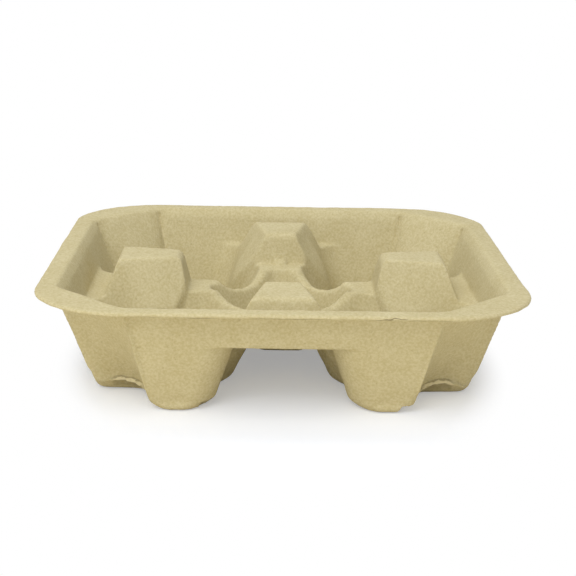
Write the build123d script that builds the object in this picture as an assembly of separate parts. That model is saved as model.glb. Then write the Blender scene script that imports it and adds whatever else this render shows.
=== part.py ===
"""Moulded-pulp carrier tray for four cups: one thin piece with a flat rim, four clover-shaped wells that are
also its feet, a hollow post at the middle of each side and a pit in the middle.
Millimetres, +Z up. The feet stand on Z = 0 and the tray's middle is on the Z axis."""
import os
from math import atan2, cos, degrees, radians, sin, sqrt, tan

from build123d import *

# Overall sizes
tray_side = 210
tray_height = 50
rim_corner_radius = 40
pulp = 2

# Side walls and corner panels: reach of the upper surface from the middle at the rim plane, draft in degrees
wall_reach = 95
wall_draft = 19.3
panel_reach = 112.8

# Flare from the walls to the rim, and the trimmed edge of the rim
flare_rise = 4
flare_out = 1.6
rim_edge = 0.6

# Posts: flat tops a little under the rim, wider towards the walls
post_drop = 2.6
post_near = 47
post_far = 72
post_near_half_width = 7.4
post_spread = 13.5
post_near_draft = 14
post_far_draft = 33
post_top_round = 4

# Shoulder around the posts, depth under the rim
shoulder_depth = 17

# Corner radii of a well at the foot of the flare, upper surface
mouth_lobe_radius = 16
mouth_crease_radius = 7
mouth_inner_radius = 27

# Clover outline of a foot on the ground, lower surface: two lobes at the walls, one towards the middle,
# with flutes between them
lobe_along_wall = 42.5
lobe_radius = 11
lobe_flat = 4
inner_lobe = 37
inner_lobe_radius = 14.5
panel_flute_radius = 12
flank_flute_radius = 18

# Sloping edge around the sole of a foot
sole_in = 3
sole_rise = 3.2

# Pit in the middle, upper surface: sides across the axes and across the diagonals
pit_axis_reach = 31.5
pit_diagonal_reach = 30.5
pit_draft = 18
pit_floor = 11
pit_floor_radius = 4
pit_heel = 1.6

# Half-round lug at the foot of one post
lug_radius = 3.6
lug_height = 1.5

# Width of the trough over each pair of posts, which ends inside the wells
trough_half_width = 45

rim = tray_height
shoulder = rim - shoulder_depth
post_top = rim - post_drop
quarter_turn = 90
half_turn = 180
corner_turn = 45


def slope(draft):
    return tan(radians(draft))


def skin(draft):
    """Level distance through a wall one pulp thick."""
    return pulp / cos(radians(draft))


def draft_of(out, rise):
    return degrees(atan2(out, rise))


def corner_step(low, high):
    """Step out and down of a profile's corner, between lines of two drafts, as both move out by one pulp."""
    low, high = radians(low), radians(high)
    share = pulp / (1 + cos(high - low))
    return share * (cos(low) + cos(high)), share * (sin(low) + sin(high))


flare_draft = draft_of(flare_out + slope(wall_draft) * flare_rise, flare_rise)
sole_draft = draft_of(sole_in + slope(wall_draft) * sole_rise, sole_rise)
pit_heel_draft = draft_of(pit_heel + slope(pit_draft) * pit_heel, pit_heel)


def meet(a, b):
    """Point where two sides cross, each given by its normal's direction and its reach from the middle."""
    (u, p), (v, q) = a, b
    u, v = radians(u), radians(v)
    turn = sin(v - u)
    return Vector((p * sin(v) - q * sin(u)) / turn, (q * cos(u) - p * cos(v)) / turn)


def rounded_sides(sides, radii):
    """Closed outline of arcs and lines in turn: corner i lies between side i and side i + 1."""
    count = len(sides)
    corners = [meet(sides[i], sides[(i + 1) % count]) for i in range(count)]
    arcs = []
    for i in range(count):
        before = (corners[i - 1] - corners[i]).normalized()
        after = (corners[(i + 1) % count] - corners[i]).normalized()
        half = radians(before.get_angle(after) / 2)
        middle = (before + after).normalized() * (radii[i] / sin(half) - radii[i])
        ends = [corners[i] + way * (radii[i] / tan(half)) for way in (before, after)]
        arcs.append(Edge.make_three_point_arc(ends[0], corners[i] + middle, ends[1]))
    outline = []
    for i in range(count):
        outline += [arcs[i], Edge.make_line(arcs[i] @ 1, arcs[(i + 1) % count] @ 0)]
    return outline


def arc(centre, radius, start, end):
    """Arc about a centre from the direction of one point to the direction of another."""
    a, b = (start - centre).normalized(), (end - centre).normalized()
    points = [centre + way * radius for way in (a, (a + b).normalized(), b)]
    return Edge.make_three_point_arc(*points)


def flute_centre(a, ra, b, rb, radius):
    """Centre of the circle of this radius that touches circles a and b from outside, right of a to b."""
    along = (b - a).normalized()
    gap = (b - a).length
    step = ((ra + radius) ** 2 - (rb + radius) ** 2 + gap ** 2) / (2 * gap)
    off = sqrt((ra + radius) ** 2 - step ** 2)
    return a + along * step + Vector(along.Y, -along.X) * off


def mirrored(point):
    return Vector(point.Y, point.X)


def clover(inset):
    """Outline of a foot on the ground, its lobes drawn in and its flutes opened by the inset."""
    wall = wall_reach - slope(wall_draft) * rim + skin(wall_draft)
    near_wall = wall - lobe_radius
    x_outer = Vector(near_wall, lobe_along_wall + lobe_flat / 2)
    x_inner = Vector(near_wall, lobe_along_wall - lobe_flat / 2)
    y_outer, y_inner = mirrored(x_outer), mirrored(x_inner)
    inner = Vector(inner_lobe, inner_lobe)
    panel_flute = flute_centre(x_outer, lobe_radius, y_outer, lobe_radius, panel_flute_radius)
    y_flute = flute_centre(y_inner, lobe_radius, inner, inner_lobe_radius, flank_flute_radius)
    x_flute = mirrored(y_flute)
    lobe, inmost = lobe_radius - inset, inner_lobe_radius - inset
    panel, flank = panel_flute_radius + inset, flank_flute_radius + inset
    east, north = Vector(lobe, 0), Vector(0, lobe)
    return [arc(x_inner, lobe, x_flute, x_inner + east),
            Edge.make_line(x_inner + east, x_outer + east),
            arc(x_outer, lobe, x_outer + east, panel_flute),
            arc(panel_flute, panel, x_outer, y_outer),
            arc(y_outer, lobe, panel_flute, y_outer + north),
            Edge.make_line(y_outer + north, y_inner + north),
            arc(y_inner, lobe, y_inner + north, y_flute),
            arc(y_flute, flank, y_inner, inner),
            arc(inner, inmost, y_flute, x_flute),
            arc(x_flute, flank, inner, x_inner)]


def mouth(out, grow):
    """Outline of a well at the foot of the flare: walls, corner panel and the flanks of two posts."""
    lean = radians(post_spread)
    flank = post_near * sin(lean) - (post_near_half_width - slope(wall_draft) * post_drop) * cos(lean)
    reaches = [(post_spread - quarter_turn, flank), (0, wall_reach), (corner_turn, panel_reach),
               (quarter_turn, wall_reach), (half_turn - post_spread, flank)]
    sides = [(angle, reach + out) for angle, reach in reaches]
    lobe, crease, inner = mouth_lobe_radius + grow, mouth_crease_radius + grow, mouth_inner_radius + grow
    return rounded_sides(sides, (lobe, crease, crease, lobe, inner))


def raised(outline, z):
    return [edge.moved(Location((0, 0, z))) for edge in outline]


def drafted(lower, upper):
    """Solid between two outlines of the same make: flat between straight lines, ruled between the others."""
    faces = [Face(Wire(lower)), Face(Wire(upper))]
    for low, high in zip(lower, upper):
        if low.geom_type == high.geom_type == GeomType.LINE:
            faces.append(Face(Wire.make_polygon([low @ 0, low @ 1, high @ 1, high @ 0])))
        else:
            faces.append(Face.make_surface_from_curves(low, high))
    return Solid(Shell(faces))


def widened(outline, rise, draft):
    """Solid that widens upwards from an outline at one draft."""
    return extrude(Face(Wire(outline)), rise, taper=-draft)


def flare_foot(grow):
    """Step out from the rim's wall line, and height, where the flare begins."""
    out, down = (grow / pulp * step for step in corner_step(wall_draft, flare_draft))
    return out - slope(wall_draft) * flare_rise, rim - flare_rise - down


def well(grow):
    """Well in the +X +Y quarter: its upper surface, or its lower one when grown by the pulp.
    A clover sole with a sloping edge, sides ruled from it to a straight-sided mouth, and the flare."""
    inside = 1 - grow / pulp
    sole_step, floor = (inside * step for step in corner_step(quarter_turn, sole_draft))
    heel_step, heel_up = (inside * step for step in corner_step(sole_draft, wall_draft))
    heel = sole_rise + heel_up
    sole = widened(raised(clover(sole_in + sole_step), floor), heel - floor, sole_draft)
    ankle = raised(clover(heel_step - slope(wall_draft) * sole_rise), heel)
    out, top = flare_foot(grow)
    collar = raised(mouth(out, grow), top)
    flare = widened(collar, rim - grow - top, flare_draft)
    return sole.fuse(drafted(ankle, collar), flare).clean()


def trough(grow):
    """Opening along Y over two posts: its ends lie in the walls and the flare, its floor is the shoulder."""
    floor, end = shoulder - grow, rim - grow
    out, top = flare_foot(grow)
    collar = wall_reach + out
    base = collar - slope(wall_draft) * (top - floor)
    lip = collar + slope(flare_draft) * (end - top)
    side = [(base, floor), (collar, top), (lip, end)]
    points = [(0, y, z) for y, z in side] + [(0, -y, z) for y, z in reversed(side)]
    body = Solid.extrude(Face(Wire.make_polygon(points)), Vector(2 * trough_half_width, 0, 0))
    return body.moved(Location((-trough_half_width, 0, 0)))


def post(shrink):
    """Block of the post at the +Y side, before the wells cut its flanks: its upper surface, or its hollow."""
    crown, foot = post_top - shrink, shoulder - shrink

    def level(z):
        depth = post_top - z
        near = post_near - slope(post_near_draft) * depth + shrink / cos(radians(post_near_draft))
        far = post_far + slope(post_far_draft) * depth - shrink / cos(radians(post_far_draft))
        return near, far
    (low_near, low_far), (high_near, high_far) = level(foot), level(crown)
    profile = Wire.make_polygon([(0, low_near, foot), (0, low_far, foot),
                                 (0, high_far, crown), (0, high_near, crown)])
    body = Solid.extrude(Face(profile), Vector(2 * trough_half_width, 0, 0))
    body = body.moved(Location((-trough_half_width, 0, 0)))
    crown_edges = body.faces().sort_by(Axis.Z)[-1].edges().filter_by(Axis.X)
    return fillet(crown_edges, post_top_round - shrink)


def pit(grow):
    """Pit in the middle: a rounded octagon with a sloping edge at its floor, drafted up to the shoulder."""
    out, down = (grow / pulp * step for step in corner_step(quarter_turn, pit_heel_draft))
    heel_out, heel_down = (grow / pulp * step for step in corner_step(pit_heel_draft, pit_draft))
    floor, heel = pit_floor - down, pit_floor + pit_heel - heel_down
    draw_in = slope(pit_draft) * (shoulder - pit_floor) + pit_heel - out
    reaches = [pit_axis_reach - draw_in, pit_diagonal_reach - draw_in] * 4
    sides = [(corner_turn * i, reach) for i, reach in enumerate(reaches)]
    outline = rounded_sides(sides, [pit_floor_radius] * len(sides))
    base = widened(raised(outline, floor), heel - floor, pit_heel_draft)
    return base.fuse(extrude(base.faces().sort_by(Axis.Z)[-1], shoulder - heel, taper=-pit_draft))


def around(solid, count):
    return [solid.rotate(Axis.Z, quarter_turn * i) for i in range(count)]


def shaped(grow):
    """Everything above the tray's upper surface, or above its lower surface when grown by the pulp."""
    crossed = around(trough(grow), 2)
    body = crossed[0].fuse(crossed[1]).cut(*around(post(grow), 4))
    return body.fuse(*around(well(grow), 4), pit(grow)).clean()


def rim_plate():
    plate = extrude(RectangleRounded(tray_side, tray_side, rim_corner_radius), pulp)
    edges = plate.faces().sort_by(Axis.Z)[0].edges() + plate.faces().sort_by(Axis.Z)[-1].edges()
    return chamfer(edges, rim_edge).moved(Location((0, 0, rim - pulp)))


def lug():
    """Half-round lug on the shoulder, against the foot of the +Y post."""
    foot_line = post_near - slope(post_near_draft) * (post_top - shoulder)
    body = Cylinder(lug_radius, lug_height, align=(Align.CENTER, Align.CENTER, Align.MIN))
    return body.moved(Location((0, foot_line, shoulder)))


tray = shaped(pulp).fuse(rim_plate()).cut(shaped(0).cut(lug()))
os.makedirs("parts", exist_ok=True)
export_step(tray, "parts/carrier_tray.step")
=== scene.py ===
"""Looks of the moulded-pulp cup carrier: the tray's form shaped further after the photograph, softened and
roughened as pressed paper fibre is, a matt fibre material, a white floor that keeps the shadow, soft light
and the photograph's camera. Metres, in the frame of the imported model."""
from math import atan2, cos, pi, radians, sin, sqrt

import bpy
import numpy as np
from mathutils import Matrix, Vector


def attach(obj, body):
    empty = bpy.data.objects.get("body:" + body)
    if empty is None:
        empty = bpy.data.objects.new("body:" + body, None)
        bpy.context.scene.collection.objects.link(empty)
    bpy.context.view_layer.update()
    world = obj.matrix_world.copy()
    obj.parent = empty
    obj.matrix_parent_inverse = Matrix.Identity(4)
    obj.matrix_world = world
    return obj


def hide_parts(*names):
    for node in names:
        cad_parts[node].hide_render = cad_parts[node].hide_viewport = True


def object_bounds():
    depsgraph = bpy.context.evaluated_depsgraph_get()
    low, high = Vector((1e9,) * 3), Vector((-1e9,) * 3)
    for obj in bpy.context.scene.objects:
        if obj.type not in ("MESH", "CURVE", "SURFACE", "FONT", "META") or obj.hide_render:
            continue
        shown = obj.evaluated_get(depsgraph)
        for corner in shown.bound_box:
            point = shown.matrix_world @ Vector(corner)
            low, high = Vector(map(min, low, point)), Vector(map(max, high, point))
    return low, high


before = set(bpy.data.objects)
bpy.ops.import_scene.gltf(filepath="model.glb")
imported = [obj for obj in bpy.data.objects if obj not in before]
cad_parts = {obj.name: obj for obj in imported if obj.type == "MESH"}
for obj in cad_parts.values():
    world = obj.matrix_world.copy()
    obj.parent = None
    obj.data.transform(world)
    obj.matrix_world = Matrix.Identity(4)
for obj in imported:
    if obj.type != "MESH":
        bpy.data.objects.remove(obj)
cad_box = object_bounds()
cad_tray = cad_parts["carrier_tray"]
floor_level, rim_level = cad_box[0].z, cad_box[1].z
mm = 0.001


def in_mm(*points):
    """Points that are given in millimetres."""
    return [Vector(point) * mm for point in points]


# Camera, fitted to the outline of the rim: where the middle of the rim plane lies, seen from the camera
photo_side_px = 576
focal_px = 1358.0
rim_middle_px = (281.2, 252.3)
camera_distance = 639.4 * mm
camera_elevation = radians(13.78)
tray_yaw = radians(0.86)
camera_roll = radians(1.045)
sensor_width_mm = 36.0

# Pulp surface: size of its faces, softened creases, lumps of two sizes. A hold share is how much of the
# softening is kept off.
voxel = 0.7 * mm
weld_gap = voxel / 100
triangle_budget = 180000
soften_share, crease_passes = 0.5, 5
rim_edge_width, rim_edge_hold_share, top_hold_share = 3 * mm, 0.9, 0.6
sole_height, sole_passes = 8 * mm, 9
flare_depth, flare_passes = 5 * mm, 7
flare_inner, flare_outer, panel_share = 82 * mm, 88 * mm, 0.842
uneven_size, uneven_depth = 22 * mm, 0.5 * mm
lump_size, lump_depth = 4 * mm, 0.25 * mm

# Post flanks: they bulge into the wells, and the ridges towards the middle stand back from them
flank_bulge, ridge_back = 2.6 * mm, 1.4 * mm
bulge_start, bulge_full, bulge_fade, bulge_end = 4 * mm, 18 * mm, 26 * mm, 46 * mm
post_foot, post_edge, post_middle, post_end = 42.5 * mm, 47.5 * mm, 58 * mm, 73 * mm
ridge_level, edge_lean = 33 * mm, 0.36
ridge_tip, ridge_middle = 28 * mm, 36 * mm
strip_inner, strip_side, flank_side, flank_end = 2 * mm, 7 * mm, 20 * mm, 30 * mm

# Posts: their tops are drawn up, and their ends towards the walls are drawn out to stand steeper, not at all
# at the low level and in full at the high one
end_out, end_up, back_end_up = 3.4 * mm, 1.5 * mm, 0.6 * mm
end_low, end_high, end_most_share = 33 * mm, 47.4 * mm, 1.2
top_start, top_end = 57 * mm, 70 * mm
trough_start, trough_end = 81 * mm, 87 * mm
post_side, post_side_end = 22 * mm, 28 * mm

# Pit: flat sides across the diagonals, and thick round ridges around it. Facing is how far a surface looks
# to the pit's middle, as a share of looking straight at it.
pit_warp, ridge_rise = 2 * mm, 2.4 * mm
warp_start, warp_full, warp_fade, warp_end = 12 * mm, 22 * mm, 36 * mm, 46 * mm
pit_side, pit_lean = 26 * mm, 0.325
pit_low, pit_high = 6 * mm, 34 * mm
pit_near, pit_far = 35 * mm, 39 * mm
pit_move, pit_move_end = 5 * mm, 7 * mm
facing_full_share, facing_start_share = 0.35, 0.05
round_low, round_full, round_passes = 12 * mm, 18 * mm, 10

# Crisp creases between the walls and the corner panels: middle of a wall's skin, the crease and the start of
# the round it is drawn out of, each at the rim plane and drawn in by a share of the depth below it
wall_line, wall_lean = 96 * mm, 0.35
crease_line, crease_lean = 65.4 * mm, 0.20
round_line, round_lean = 62.4 * mm, 0.38
round_radius, crease_run = 10 * mm, 6 * mm
crease_near, crease_far = 6 * mm, 14 * mm
crease_full, crease_top = 46 * mm, 49 * mm
groove_half, groove_depth, groove_end, groove_start = 1.7 * mm, 1.3 * mm, 6 * mm, 12 * mm

# Lobes of the feet: fuller towards the ground at the side walls, and their soles reach out at all walls
left_fill, right_fill, lobe_low, lobe_high = 1.0 * mm, 2.2 * mm, 6 * mm, 42 * mm
sole_fill, sole_full, sole_end = 3.0 * mm, 0.5 * mm, 4.5 * mm
lobe_middle, lobe_core, lobe_side = 44.5 * mm, 2 * mm, 13 * mm

# Lug at the foot of the back post: its place, reach and lift
lug_place, lug_reach, lug_core_share = (0, 43 * mm), 3.6 * mm, 0.7
lug_low, lug_high, lug_lift = 31 * mm, 38 * mm, 0.8 * mm

# Torn lips of pulp across the flutes of the two front corners: points on the surface, then how far a lip
# stands out and how ragged it is, with waves of two lengths along it
left_lip = in_mm((-75.5, -54.5, 5.2), (-71, -57.5, 6.4), (-67, -58.2, 6.4), (-63, -58.8, 5.8),
                 (-59, -62, 4.4))
right_lip = in_mm((60, -61.5, 4.4), (64, -58.8, 6.0), (68, -58, 6.9), (72, -57.8, 6.9),
                  (76.5, -54, 4.6))
lip_half_height, lip_push, lip_near, lip_far = 1.1 * mm, 2.8 * mm, 3 * mm, 6 * mm
lip_ragged, long_wave, short_wave = 1 * mm, 5.3 * mm, 2.1 * mm
long_wave_share, short_wave_share = 0.4, 0.2

# Lips: painted highlight on the edge, painted shade in the crevice above and under it, measured up from the
# lip.
# The facing shares keep it on the outer side of the skin and its shade off the soles.
lip_top, lip_wander, lip_grain = 10 * mm, 1.4 * mm, 2.5 * mm
lip_front, lip_front_fade, lip_end_fade = -50 * mm, 1 * mm, 3 * mm
highlight_half, highlight_core, highlight_share = 0.75 * mm, 0.4 * mm, 0.85
# The crevice and under bands paint shade, not a darker pulp
crevice_level, crevice_half, crevice_core, crevice_share = 1.1 * mm, 0.6 * mm, 0.2 * mm, 0.35
under_start, under_full, under_fade, under_end, under_share = -0.5 * mm, -1.2 * mm, -3 * mm, -5 * mm, 0.4
lip_facing_shares, sole_facing_shares = (0.1, 0.3), (-0.9, -0.6)

# Nicks in the soles of the two front feet: places on the ground, reach, height and depth, and how far a
# surface may look up that is still cut
nick_places = in_mm((-30.5, -75.5, 0), (53.5, -77, 0))
nick_reach, nick_core_share, nick_height, nick_depth = 5 * mm, 0.75, 3.4 * mm, 2.2 * mm
nick_upward_share = 0.5

# Crack in the rim's front edge, painted shade in its gap: its ends, its height, how far it wanders and how
# dark it is
crack_left, crack_right, crack_end_fade = 38 * mm, 50 * mm, 3 * mm
crack_level, crack_wander, crack_grain = 49.0 * mm, 2.2 * mm, 4 * mm
crack_front, crack_front_fade, crack_half, crack_share = -103.5 * mm, 1 * mm, 0.25 * mm, 0.8

# Painted shadow line along the lower edge of the rim, in places: its height, half its width and where the
# outer edge starts
rim_shadow_level, rim_shadow_half, rim_shadow_start, rim_shadow_fade = 48.1 * mm, 0.5 * mm, 103 * mm, 1 * mm
rim_shadow_grain, rim_shadow_patch_shares, rim_shadow_share = 15 * mm, (0.45, 0.6), 0.55

# Pulp colours, the sizes of its grains and how much of each shows; also the painted shade and painted
# highlight
pulp_colour = (0.54, 0.472, 0.268)
pulp_pale = (0.615, 0.55, 0.345)
pulp_deep = (0.455, 0.385, 0.197)
speck_colour = (0.33, 0.26, 0.13)
# Near-black of the painted shade in the crack, in the lips' crevices and along the rim's lower edge
painted_shade_colour = (0.12, 0.09, 0.045)
# Colour of the painted highlight along the lips' edges
lip_highlight_colour = (0.78, 0.70, 0.46)
cloud_grain, speckle_grain, fibre_grain, speck_grain = 14 * mm, 1.1 * mm, 0.45 * mm, 1.6 * mm
grain_shares, speck_shares = (0.3, 0.7), (0.70, 0.78)
even_share, speckle_share, speck_share, fibre_share = 0.6, 0.55, 0.35, 0.5
bump_depth, bump_share = 0.5 * mm, 0.35

# Floor: its colour to the light and to the camera, and the oval around the tray where its shadow is kept
floor_half_side, floor_gap = 3.0, 0.1 * mm
floor_bounce = (0.95, 0.90, 0.78)
floor_seen = (1.02, 1.06, 1.16)
floor_lift_share = 0.31
shadow_half_width, shadow_half_depth = 107 * mm, 165 * mm
shadow_full_share, shadow_end_share = 0.75, 1.0

# Light: a soft sky and three lamps, each with its place, width and watts
plain_white = (1, 1, 1, 1)
sky_strength, seen_strength = 0.55, 1.0
light_aim = Vector((0, 0, 0.02))
lights = [("top_light", (-0.15, 0.35, 1.2), 0.8, 3.8), ("front_light", (-0.3, -1.2, 0.6), 1.5, 4.7),
          ("key_light", (-0.35, -0.75, 1.0), 0.9, 7.0)]


def linked(name, data):
    """A new object of the scene."""
    piece = bpy.data.objects.new(name, data)
    bpy.context.scene.collection.objects.link(piece)
    return piece


def camera_like_photo():
    """Camera with the distance, height, turn and roll of the photograph."""
    away = Vector((0, -cos(camera_elevation), sin(camera_elevation)))
    ahead, right = -away, Vector((1, 0, 0))
    up = right.cross(ahead)
    centre_px = photo_side_px / 2
    pan = Matrix.Rotation(atan2(rim_middle_px[0] - centre_px, focal_px), 3, up)
    ahead, right = pan @ ahead, pan @ right
    tilt = Matrix.Rotation(atan2(rim_middle_px[1] - centre_px, focal_px), 3, right)
    ahead, up = tilt @ ahead, tilt @ up
    roll = Matrix.Rotation(camera_roll, 3, -ahead)
    right, up = roll @ right, roll @ up
    turn = Matrix.Rotation(-tray_yaw, 3, "Z")
    place = turn @ (away * camera_distance) + Vector((0, 0, rim_level))
    axes = [turn @ axis for axis in (right, up, -ahead)]
    data = bpy.data.cameras.new("camera")
    data.sensor_width = sensor_width_mm
    data.lens = focal_px / photo_side_px * sensor_width_mm
    data.clip_start = camera_distance / 100
    camera = linked("camera", data)
    camera.matrix_world = Matrix.Translation(place) @ Matrix(axes).transposed().to_4x4()
    bpy.context.scene.camera = camera


def settle(piece):
    """Applies a piece's modifiers to its mesh."""
    made = bpy.data.meshes.new_from_object(piece.evaluated_get(bpy.context.evaluated_depsgraph_get()))
    piece.modifiers.clear()
    piece.data = made


def uneven(piece, name, size, depth):
    """Pushes the surface in and out by soft random lumps."""
    texture = bpy.data.textures.new(name, "CLOUDS")
    texture.noise_scale = size
    texture.noise_depth = 2
    push = piece.modifiers.new(name, "DISPLACE")
    push.texture = texture
    push.texture_coords = "GLOBAL"
    push.strength = depth
    push.mid_level = 0.5


def vertex_array(mesh, quality):
    """A quality of a mesh's vertices, such as place or normal, as rows of three."""
    values = np.empty(len(mesh.vertices) * 3)
    mesh.vertices.foreach_get(quality, values)
    return values.reshape(-1, 3)


def set_points(mesh, points):
    """Moves a mesh's vertices to new places."""
    mesh.vertices.foreach_set("co", points.ravel())
    mesh.update()


def fade(value, start, end):
    """1 at start, 0 at end, smooth between."""
    t = np.clip((value - end) / (start - end), 0, 1)
    return t * t * (3 - 2 * t)


def bulged_flanks(mesh):
    """Bulges the flanks of the posts into the wells and draws back the ridges between them and the pit."""
    points = vertex_array(mesh, "co")
    moved, height = points.copy(), points[:, 2]
    strength = fade(height, bulge_full, bulge_start) * fade(height, bulge_fade, bulge_end)
    lean = edge_lean * (ridge_level - height)
    for lengthwise, crosswise in ((0, 1), (1, 0)):
        reach, across = np.abs(points[:, lengthwise]), points[:, crosswise]
        side = np.sign(across) * fade(np.abs(across), strip_side, strip_inner)
        side *= fade(np.abs(across), flank_side, flank_end) * strength
        on_post = fade(reach - lean, post_edge, post_foot)
        flank = on_post * fade(reach, post_middle, post_end)
        ridge = (1 - on_post) * fade(reach, ridge_middle, ridge_tip)
        moved[:, crosswise] += side * (flank_bulge * flank - ridge_back * ridge)
    set_points(mesh, moved)


def upright_ends(mesh):
    """Draws the posts' tops up and their ends towards the walls out."""
    points = vertex_array(mesh, "co")
    moved = points.copy()
    level = np.clip((points[:, 2] - end_low) / (end_high - end_low), 0, end_most_share)
    for lengthwise, crosswise in ((0, 1), (1, 0)):
        reach, across = np.abs(points[:, lengthwise]), np.abs(points[:, crosswise])
        post = fade(across, post_side, post_side_end) * fade(reach, trough_start, trough_end) * level
        far = np.clip((reach - top_start) / (top_end - top_start), 0, 1)
        moved[:, lengthwise] += np.sign(points[:, lengthwise]) * end_out * far * post
        up = np.where(points[:, 1] > post_foot, back_end_up, end_up)
        moved[:, 2] += up * post * fade(reach, post_foot, pit_near)
    set_points(mesh, moved)


def diamond_pit(mesh):
    """Draws the pit's corners out to the posts, its sides in across the diagonals and its ridges up."""
    points, normals = vertex_array(mesh, "co"), vertex_array(mesh, "normal")
    height = points[:, 2]
    away = np.linalg.norm(points[:, :2], axis=1)
    bearing = np.arctan2(points[:, 1], points[:, 0])
    around = fade(away, warp_full, warp_start) * fade(away, warp_fade, warp_end)
    around *= fade(height, round_full, round_low)
    warp = pit_warp * np.cos(4 * bearing) * around
    rise = ridge_rise * np.sin(2 * bearing) ** 2 * around
    points[:, :2] *= (1 + warp / np.maximum(away, mm))[:, None]
    points[:, 2] += rise
    away = np.linalg.norm(points[:, :2], axis=1)
    inward = -(normals[:, :2] * points[:, :2]).sum(axis=1) / np.maximum(away, mm)
    share = fade(inward, facing_full_share, facing_start_share) * fade(away, pit_near, pit_far)
    share *= (height > pit_low) * (height < pit_high)
    side = pit_side - pit_lean * (ridge_level - height)
    for turn in range(4):
        diagonal = np.array((cos(pi / 4 + turn * pi / 2), sin(pi / 4 + turn * pi / 2)))
        excess = np.maximum(points[:, :2] @ diagonal - side, 0)
        move = share * excess * fade(excess, pit_move, pit_move_end)
        points[:, :2] -= move[:, None] * diagonal
    set_points(mesh, points)


def softened(points, edges, share, passes):
    """Moves each point towards the middle of its neighbours, by a share per point."""
    count = len(points)
    ends = np.concatenate([edges, edges[:, ::-1]])
    neighbours = np.bincount(ends[:, 0], minlength=count)[:, None]
    for _ in range(passes):
        sums = [np.bincount(ends[:, 0], points[ends[:, 1], axis], count) for axis in range(3)]
        points = points + share[:, None] * soften_share * (np.stack(sums, axis=1) / neighbours - points)
    return points


def soft_creases(mesh):
    """Rounds the creases as pressed pulp has them: most at the soles and ridges, least at the rim's edge."""
    points = vertex_array(mesh, "co")
    edges = np.empty(len(mesh.edges) * 2, np.int32)
    mesh.edges.foreach_get("vertices", edges)
    edges = edges.reshape(-1, 2)
    plan = np.abs(points[:, :2])
    to_edge = cad_box[1].x - plan.max(axis=1)
    reach = np.maximum(plan.max(axis=1), panel_share * plan.sum(axis=1) / sqrt(2))
    outer = fade(reach, flare_outer, flare_inner)
    high = fade(rim_level - points[:, 2], flare_depth, 2 * flare_depth)
    share = 1 - rim_edge_hold_share * fade(to_edge, 0, rim_edge_width)
    share *= 1 - top_hold_share * high * (1 - outer)
    points = softened(points, edges, share, crease_passes)
    sole = fade(points[:, 2], sole_height / 2, sole_height)
    points = softened(points, edges, sole, sole_passes)
    flare = fade(rim_level - points[:, 2], flare_depth / 2, flare_depth) * outer
    flare *= fade(to_edge, 2 * rim_edge_width, rim_edge_width)
    points = softened(points, edges, flare, flare_passes)
    middle = fade(np.linalg.norm(points[:, :2], axis=1), pit_near, pit_far)
    ridges = middle * fade(points[:, 2], round_full, round_low)
    points = softened(points, edges, ridges, round_passes)
    set_points(mesh, points)


def sharp_creases(mesh):
    """Draws the walls on as flats to a crisp crease at the corner panels."""
    points = vertex_array(mesh, "co")
    moved, depth = points.copy(), rim_level - points[:, 2]
    wall = wall_line - wall_lean * depth
    crease = crease_line - crease_lean * depth
    start = round_line - round_lean * depth
    level = fade(points[:, 2], crease_full, crease_top)
    for lengthwise, crosswise in ((0, 1), (1, 0)):
        run, reach = np.abs(points[:, lengthwise]), np.abs(points[:, crosswise])
        out = (np.clip(run, start, crease) - start) ** 2 / (2 * round_radius)
        out *= np.clip(1 - (run - crease) / crease_run, 0, 1)
        groove = np.clip(1 - np.abs(run - crease) / groove_half, 0, 1)
        groove *= fade(points[:, 2], groove_start, groove_end)
        out = (out + groove_depth * groove) * fade(wall - reach, crease_near, crease_far) * level
        moved[:, crosswise] += np.sign(points[:, crosswise]) * out
    set_points(mesh, moved)


def full_lobes(mesh):
    """Fills out the edges of the soles at the walls, and the lobes at the left and right walls."""
    points = vertex_array(mesh, "co")
    wall = wall_line - wall_lean * (rim_level - points[:, 2])
    near = fade(wall[:, None] - np.abs(points[:, :2]), crease_near, crease_far)
    sole = sole_fill * fade(points[:, 2], sole_full, sole_end)
    side = near[:, 0] * fade(points[:, 2], lobe_low, lobe_high)
    lobe = fade(np.abs(np.abs(points[:, 1::-1]) - lobe_middle), lobe_core, lobe_side)
    points[:, :2] += np.sign(points[:, :2]) * near * lobe * sole[:, None]
    points[:, 0] += side * np.where(points[:, 0] > 0, right_fill, -left_fill)
    set_points(mesh, points)


def raised_lug(mesh):
    """Lifts the lug at the back post's foot, which the softening has flattened."""
    points = vertex_array(mesh, "co")
    away = np.linalg.norm(points[:, :2] - lug_place, axis=1)
    here = (points[:, 2] > lug_low) * (points[:, 2] < lug_high)
    points[:, 2] += lug_lift * here * fade(away, lug_reach * lug_core_share, lug_reach)
    set_points(mesh, points)


def along(path, points):
    """For each point: its distance in plan to a path and the path's height there."""
    best, height = np.full(len(points), np.inf), np.zeros(len(points))
    for a, b in zip(path, path[1:]):
        a, b = np.array(a), np.array(b)
        run = (b - a)[:2]
        t = np.clip((points[:, :2] - a[:2]) @ run / (run @ run), 0, 1)
        gap = np.linalg.norm(points[:, :2] - a[:2] - t[:, None] * run, axis=1)
        closer = gap < best
        best[closer] = gap[closer]
        height[closer] = (a[2] + t * (b[2] - a[2]))[closer]
    return best, height


def wave(values, length):
    """A sine wave of this length."""
    return np.sin(values * (2 * pi / length))


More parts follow.
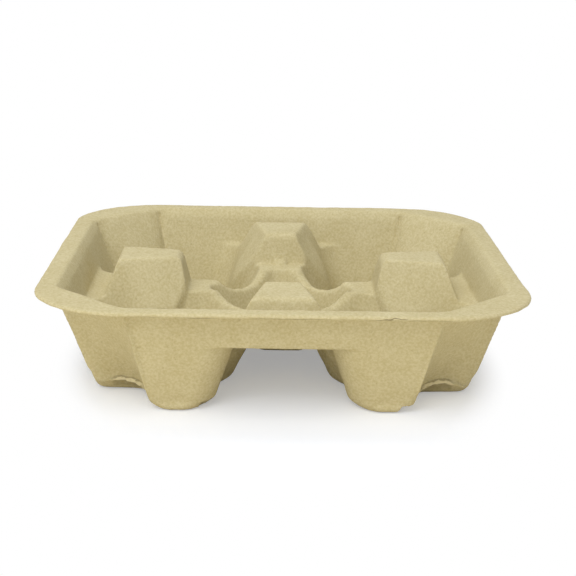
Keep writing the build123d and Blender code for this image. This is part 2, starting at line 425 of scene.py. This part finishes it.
def torn_soles(mesh):
    """Pushes out the ragged lips and cuts the nicks into the soles."""
    points, normals = vertex_array(mesh, "co"), vertex_array(mesh, "normal")
    x = points[:, 0].copy()
    outward = normals[:, 0] * x + normals[:, 1] * points[:, 1] > 0
    ragged = (wave(x, long_wave) * long_wave_share + wave(x, short_wave) * short_wave_share) * lip_ragged
    corner = np.stack([np.sign(x), np.sign(points[:, 1])], axis=1) / sqrt(2)
    for path in (left_lip, right_lip):
        gap, height = along(path, points)
        off = np.abs(height + ragged - points[:, 2])
        lip = np.clip(1 - off / lip_half_height, 0, 1) * fade(gap, lip_near, lip_far) * outward
        points[:, :2] += (lip_push * lip)[:, None] * corner
    for centre in nick_places:
        away = np.linalg.norm(points[:, :2] - np.array(centre)[:2], axis=1)
        share = fade(away, nick_reach * nick_core_share, nick_reach) * (points[:, 2] < nick_height)
        share *= normals[:, 2] < nick_upward_share
        points -= normals * (nick_depth * share)[:, None]
    set_points(mesh, points)


def pulp_tray():
    """The tray as pressed fibre: even small faces, softened creases, torn soles, a slightly lumpy skin."""
    piece = linked("pulp_tray", cad_tray.data.copy())
    weld = piece.modifiers.new("weld", "WELD")
    weld.merge_threshold = weld_gap
    remesh = piece.modifiers.new("remesh", "REMESH")
    remesh.mode = "VOXEL"
    remesh.voxel_size = voxel
    settle(piece)
    for shaped in (bulged_flanks, upright_ends, diamond_pit, soft_creases, sharp_creases, full_lobes,
                   raised_lug, torn_soles):
        shaped(piece.data)
    uneven(piece, "unevenness", uneven_size, uneven_depth)
    uneven(piece, "lumps", lump_size, lump_depth)
    settle(piece)
    thin = piece.modifiers.new("thin", "DECIMATE")
    thin.ratio = triangle_budget / (2 * len(piece.data.polygons))
    settle(piece)
    points = vertex_array(piece.data, "co")
    points[:, 2] = np.maximum(points[:, 2], floor_level)
    set_points(piece.data, points)
    piece.data.shade_smooth()
    piece.data.materials.clear()
    piece.data.materials.append(pulp_material())
    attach(piece, "root")
    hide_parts("carrier_tray")


class Nodes:
    """Short way to add and join shader nodes."""

    # Places of the two colours and of the blended one among the sockets of a mix node
    mix_first, mix_second, mix_blend = 6, 7, 2

    def __init__(self, tree):
        self.tree = tree
        tree.nodes.clear()

    def add(self, kind, inputs=None, **settings):
        """A node with these settings. An input is a value, or another node's output to join to it."""
        node = self.tree.nodes.new("ShaderNode" + kind)
        for name, value in settings.items():
            setattr(node, name, value)
        for name, value in (inputs or {}).items():
            if isinstance(value, bpy.types.NodeSocket):
                self.tree.links.new(value, node.inputs[name])
            else:
                node.inputs[name].default_value = value
        return node

    def noise(self, place, grain, detail=2.0, roughness=0.5):
        """Noise with grains of about this size."""
        return self.add("TexNoise", {"Vector": place, "Scale": 1 / grain, "Detail": detail,
                                     "Roughness": roughness}).outputs["Fac"]

    def ramp(self, value, low, high):
        """0 at low, 1 at high, smooth between, level beyond."""
        return self.add("MapRange", {"Value": value, "From Min": low, "From Max": high},
                        interpolation_type="SMOOTHSTEP").outputs["Result"]

    def band(self, value, half, core):
        """1 where a value is within core of zero, 0 from half on."""
        return self.ramp(self.maths("ABSOLUTE", value, 0.0), half, core)

    def times(self, first, *others):
        """Product of values."""
        for value in others:
            first = self.maths("MULTIPLY", first, value)
        return first

    def axes(self, vector):
        """X, Y and Z of a vector."""
        parts = self.add("SeparateXYZ", {"Vector": vector}).outputs
        return parts["X"], parts["Y"], parts["Z"]

    def blend(self, share, *colours):
        """The first of two colours, turned into the second by a share."""
        first, second = (colour if isinstance(colour, bpy.types.NodeSocket) else (*colour, 1)
                         for colour in colours)
        node = self.add("Mix", {0: share, self.mix_first: first, self.mix_second: second}, data_type="RGBA")
        return node.outputs[self.mix_blend]

    def maths(self, operation, first, second):
        """One value worked out from two."""
        return self.add("Math", {0: first, 1: second}, operation=operation).outputs["Value"]


def rim_crack(nodes, place):
    """1 along a thin wandering line in the front edge of the rim, where the crack is painted shade; 0
    elsewhere.
    """
    x, y, z = nodes.axes(place)
    wander = nodes.times(nodes.noise(place, crack_grain), crack_wander)
    off = nodes.maths("SUBTRACT", nodes.maths("ADD", z, wander), crack_level + crack_wander / 2)
    left_end = nodes.ramp(x, crack_left, crack_left + crack_end_fade)
    right_end = nodes.ramp(x, crack_right, crack_right - crack_end_fade)
    front = nodes.ramp(y, crack_front, crack_front - crack_front_fade)
    return nodes.times(nodes.band(off, crack_half, crack_half / 3), left_end, right_end, front)


def painted_rim_shadow(nodes, place):
    """Painted shadow line: 1 in places along the lower edge of the rim, 0 elsewhere."""
    x, y, z = nodes.axes(place)
    line = nodes.band(nodes.maths("SUBTRACT", z, rim_shadow_level), rim_shadow_half, rim_shadow_half / 3)
    reach = nodes.maths("MAXIMUM", nodes.maths("ABSOLUTE", x, 0.0), nodes.maths("ABSOLUTE", y, 0.0))
    outer = nodes.ramp(reach, rim_shadow_start, rim_shadow_start + rim_shadow_fade)
    patches = nodes.ramp(nodes.noise(place, rim_shadow_grain), *rim_shadow_patch_shares)
    return nodes.times(line, outer, patches)


def lip_bands(nodes, place, path):
    """Shares of painted highlight on a lip's edge and of painted shade in the crevices above and below it.
    """
    x, y, z = nodes.axes(place)
    left, right = path[0].x, path[-1].x
    run = nodes.add("MapRange", {"Value": x, "From Min": left, "From Max": right}).outputs["Result"]
    line = nodes.add("FloatCurve", {"Value": run})
    curve = line.mapping.curves[0]
    for point in path[1:-1]:
        curve.points.new((point.x - left) / (right - left), point.z / lip_top)
    curve.points[0].location = (0, path[0].z / lip_top)
    curve.points[len(curve.points) - 1].location = (1, path[-1].z / lip_top)
    line.mapping.update()
    level = nodes.times(line.outputs["Value"], lip_top)
    wander = nodes.times(nodes.noise(place, lip_grain), lip_wander)
    off = nodes.maths("SUBTRACT", nodes.maths("ADD", z, wander), level)
    off = nodes.maths("SUBTRACT", off, lip_wander / 2)
    # Painted highlight on the lip's edge, and painted shade in the crevice above it and under it
    pale = nodes.band(off, highlight_half, highlight_core)
    above = nodes.band(nodes.maths("SUBTRACT", off, crevice_level), crevice_half, crevice_core)
    under = nodes.times(nodes.ramp(off, under_start, under_full), nodes.ramp(off, under_end, under_fade))
    dark = nodes.maths("MAXIMUM", nodes.times(above, crevice_share), nodes.times(under, under_share))
    normal = nodes.add("NewGeometry").outputs["Normal"]
    corner = (1 if left > 0 else -1, -1, 0)
    facing = nodes.add("VectorMath", {0: normal, 1: corner}, operation="DOT_PRODUCT").outputs["Value"]
    side = nodes.ramp(nodes.axes(normal)[2], *sole_facing_shares)
    left_end = nodes.ramp(x, left, left + lip_end_fade)
    right_end = nodes.ramp(x, right, right - lip_end_fade)
    front = nodes.ramp(y, lip_front, lip_front - lip_front_fade)
    mask = nodes.times(nodes.ramp(facing, *lip_facing_shares), left_end, right_end, front)
    return nodes.times(pale, mask, highlight_share), nodes.times(dark, mask, side)


def pulp_material():
    """Matt pressed fibre: clouds of paler and deeper pulp, fibre speckle, a few dark specks, painted shade
    and highlights.
    """
    material = bpy.data.materials.new("pulp")
    material.use_nodes = True
    nodes = Nodes(material.node_tree)
    place = nodes.add("TexCoord").outputs["Object"]
    cloud = nodes.noise(place, cloud_grain, detail=3.0, roughness=0.6)
    speckle = nodes.noise(place, speckle_grain, detail=3.0, roughness=0.6)
    fibre = nodes.noise(place, fibre_grain)
    specks = nodes.noise(place, speck_grain, detail=1.0, roughness=0.4)
    colour = nodes.blend(nodes.ramp(cloud, *grain_shares), pulp_deep, pulp_pale)
    colour = nodes.blend(even_share, colour, pulp_colour)
    grainy = nodes.blend(nodes.ramp(speckle, *grain_shares), pulp_deep, pulp_pale)
    colour = nodes.blend(speckle_share, colour, grainy)
    colour = nodes.blend(nodes.times(nodes.ramp(specks, *speck_shares), speck_share), colour, speck_colour)
    # Painted highlight on the lips' edges and painted shade in their crevices and under them
    for path in (left_lip, right_lip):
        pale, dark = lip_bands(nodes, place, path)
        colour = nodes.blend(dark, colour, painted_shade_colour)
        colour = nodes.blend(pale, colour, lip_highlight_colour)
    # Painted shadow line along the lower edge of the rim
    colour = nodes.blend(nodes.times(painted_rim_shadow(nodes, place), rim_shadow_share), colour, painted_shade_colour)
    # The crack's dark line is painted shade in its gap; its bump is real
    crack = rim_crack(nodes, place)
    colour = nodes.blend(nodes.times(crack, crack_share), colour, painted_shade_colour)
    height = nodes.maths("ADD", speckle, nodes.times(fibre, fibre_share))
    height = nodes.maths("SUBTRACT", height, crack)
    bump = nodes.add("Bump", {"Height": height, "Strength": bump_share, "Distance": bump_depth})
    shader = nodes.add("BsdfPrincipled", {"Base Color": colour, "Roughness": 0.95, "Specular IOR Level": 0.2,
                                          "Normal": bump.outputs["Normal"]})
    nodes.add("OutputMaterial", {"Surface": shader.outputs["BSDF"]})
    return material


def floor_material():
    """Shaded near the tray, where its shadow falls, and plain white to the camera further off."""
    material = bpy.data.materials.new("floor")
    material.use_nodes = True
    nodes = Nodes(material.node_tree)
    seen = nodes.add("LightPath").outputs["Is Camera Ray"]
    near = nodes.add("BsdfDiffuse", {"Color": nodes.blend(seen, floor_bounce, floor_seen)})
    white = nodes.add("Emission", {"Color": plain_white, "Strength": seen_strength})
    place = nodes.add("TexCoord").outputs["Object"]
    spread = (1 / shadow_half_width, 1 / shadow_half_depth, 0)
    oval = nodes.add("VectorMath", {0: place, 1: spread}, operation="MULTIPLY").outputs["Vector"]
    away = nodes.add("VectorMath", {0: oval}, operation="LENGTH").outputs["Value"]
    far = nodes.ramp(away, shadow_full_share, shadow_end_share)
    white_share = nodes.times(nodes.maths("MAXIMUM", far, floor_lift_share), seen)
    mix = nodes.add("MixShader", {0: white_share, 1: near.outputs["BSDF"], 2: white.outputs["Emission"]})
    nodes.add("OutputMaterial", {"Surface": mix.outputs["Shader"]})
    return material


def floor():
    """White floor just under the soles."""
    half = floor_half_side
    level = floor_level - floor_gap
    corners = [(-half, -half, level), (half, -half, level), (half, half, level), (-half, half, level)]
    mesh = bpy.data.meshes.new("floor")
    mesh.from_pydata(corners, [], [(0, 1, 2, 3)])
    mesh.materials.append(floor_material())
    linked("floor", mesh)


def soft_light():
    """A sky that lights softly and shows as white, and the lamps."""
    world = bpy.data.worlds.new("studio")
    bpy.context.scene.world = world
    world.use_nodes = True
    nodes = Nodes(world.node_tree)
    rays = nodes.add("LightPath").outputs
    seen = nodes.maths("MAXIMUM", rays["Is Camera Ray"], rays["Is Glossy Ray"])
    seen = nodes.maths("MAXIMUM", seen, rays["Is Transmission Ray"])
    lit = nodes.add("Background", {"Color": plain_white, "Strength": sky_strength})
    white = nodes.add("Background", {"Color": plain_white, "Strength": seen_strength})
    mix = nodes.add("MixShader", {0: seen, 1: lit.outputs["Background"], 2: white.outputs["Background"]})
    nodes.add("OutputWorld", {"Surface": mix.outputs["Shader"]})
    for name, place, size, watts in lights:
        data = bpy.data.lights.new(name, "AREA")
        data.shape = "DISK"
        data.size = size
        data.energy = watts
        lamp = linked(name, data)
        lamp.location = place
        lamp.rotation_euler = (light_aim - lamp.location).to_track_quat("-Z", "Y").to_euler()


camera_like_photo()
pulp_tray()
floor()
soft_light()
bpy.context.scene.view_settings.view_transform = "Standard"
